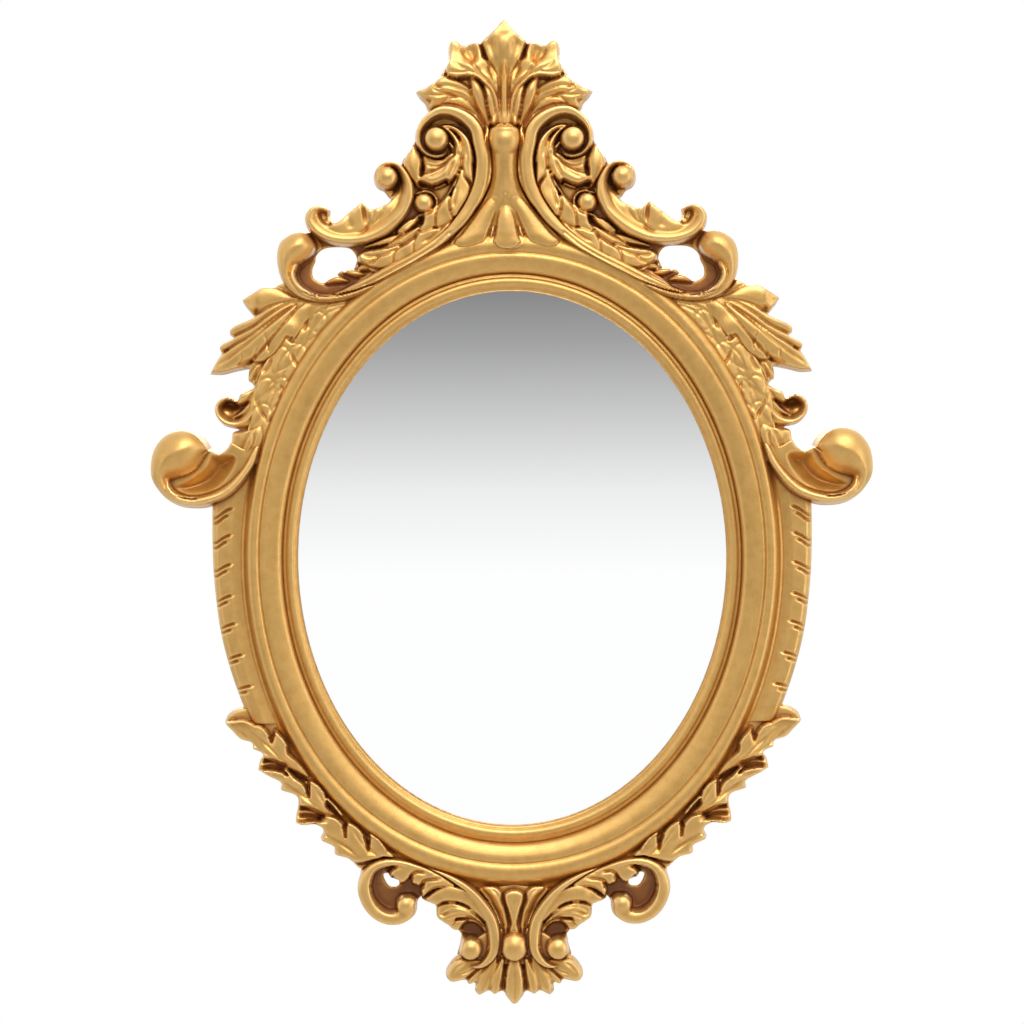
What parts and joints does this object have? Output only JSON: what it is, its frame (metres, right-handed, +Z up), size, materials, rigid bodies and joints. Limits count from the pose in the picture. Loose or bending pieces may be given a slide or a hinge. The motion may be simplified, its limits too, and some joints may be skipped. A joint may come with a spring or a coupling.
{
  "type": "ornate oval wall mirror",
  "caption": "Baroque style wall mirror with an oval glass in a gold moulded frame with leaf and scroll crest, shoulders, swags and foot.",
  "frame": {"origin": "centre of the oval, on the wall plane that the frame's back rim rests on", "axes": "+Z up the mirror, +X to the viewer's right, -Y out of the wall towards the viewer"},
  "size_m": [0.5598, 0.048, 0.761],
  "materials": {
    "gold_paint": "satin antique gold paint on moulded resin",
    "mirror_glass": "silvered",
    "foam": "foam",
    "hardboard": "smooth hardboard",
    "plated_steel": "zinc plated",
    "brass_screws": "brass plated",
    "steel_screws": "zinc plated"
  },
  "bodies": {
    "frame": {"oval_frame": "gold_paint", "mirror_glass": "mirror_glass", "foam_tape": "foam", "backing_board": "hardboard", "turn_screws": "brass_screws", "strap_hanger_left": "plated_steel", "strap_hanger_right": "plated_steel", "hanger_screws": "plated_steel", "crest_plate": "gold_paint", "crest_leaf": "gold_paint", "crest_post": "gold_paint", "crest_volute_left": "gold_paint", "crest_volute_right": "gold_paint", "crest_scroll_left": "gold_paint", "crest_scroll_right": "gold_paint", "crest_feathers_left": "gold_paint", "crest_feathers_right": "gold_paint", "shoulder_leaf_left": "gold_paint", "shoulder_leaf_right": "gold_paint", "shoulder_feathers_left": "gold_paint", "shoulder_feathers_right": "gold_paint", "side_scroll_left": "gold_paint", "side_scroll_right": "gold_paint", "side_band_left": "gold_paint", "side_band_right": "gold_paint", "lower_leaf_left": "gold_paint", "lower_leaf_right": "gold_paint", "foot_plate": "gold_paint", "foot_scroll_left": "gold_paint", "foot_scroll_right": "gold_paint", "foot_band_left": "gold_paint", "foot_band_right": "gold_paint", "foot_palmette": "gold_paint", "foot_leaf": "gold_paint", "ornament_screws": "steel_screws"},
    "d_ring_left": {"d_ring_left": "plated_steel"},
    "d_ring_right": {"d_ring_right": "plated_steel"},
    "turn_button_top": {"turn_button_top": "plated_steel"},
    "turn_button_right": {"turn_button_right": "plated_steel"},
    "turn_button_bottom": {"turn_button_bottom": "plated_steel"},
    "turn_button_left": {"turn_button_left": "plated_steel"}
  },
  "joints": [
    {"name": "d_ring_left_swing", "type": "hinge", "parent": "frame", "child": "d_ring_left", "pos_m": [-0.17694, -0.0044, 0.06], "axis": [1, 0, 0], "range_deg": [0, 180]},
    {"name": "d_ring_right_swing", "type": "hinge", "parent": "frame", "child": "d_ring_right", "pos_m": [0.17694, -0.0044, 0.06], "axis": [1, 0, 0], "range_deg": [0, 180]},
    {"name": "turn_button_top_turn", "type": "hinge", "parent": "frame", "child": "turn_button_top", "pos_m": [0, -0.0061, 0.2234], "axis": [0, 1, 0], "range_deg": [-100, 100]},
    {"name": "turn_button_right_turn", "type": "hinge", "parent": "frame", "child": "turn_button_right", "pos_m": [0.1826, -0.0061, 0], "axis": [0, 1, 0], "range_deg": [-100, 100]},
    {"name": "turn_button_bottom_turn", "type": "hinge", "parent": "frame", "child": "turn_button_bottom", "pos_m": [0, -0.0061, -0.2234], "axis": [0, 1, 0], "range_deg": [-100, 100]},
    {"name": "turn_button_left_turn", "type": "hinge", "parent": "frame", "child": "turn_button_left", "pos_m": [-0.1826, -0.0061, 0], "axis": [0, 1, 0], "range_deg": [-100, 100]}
  ]
}
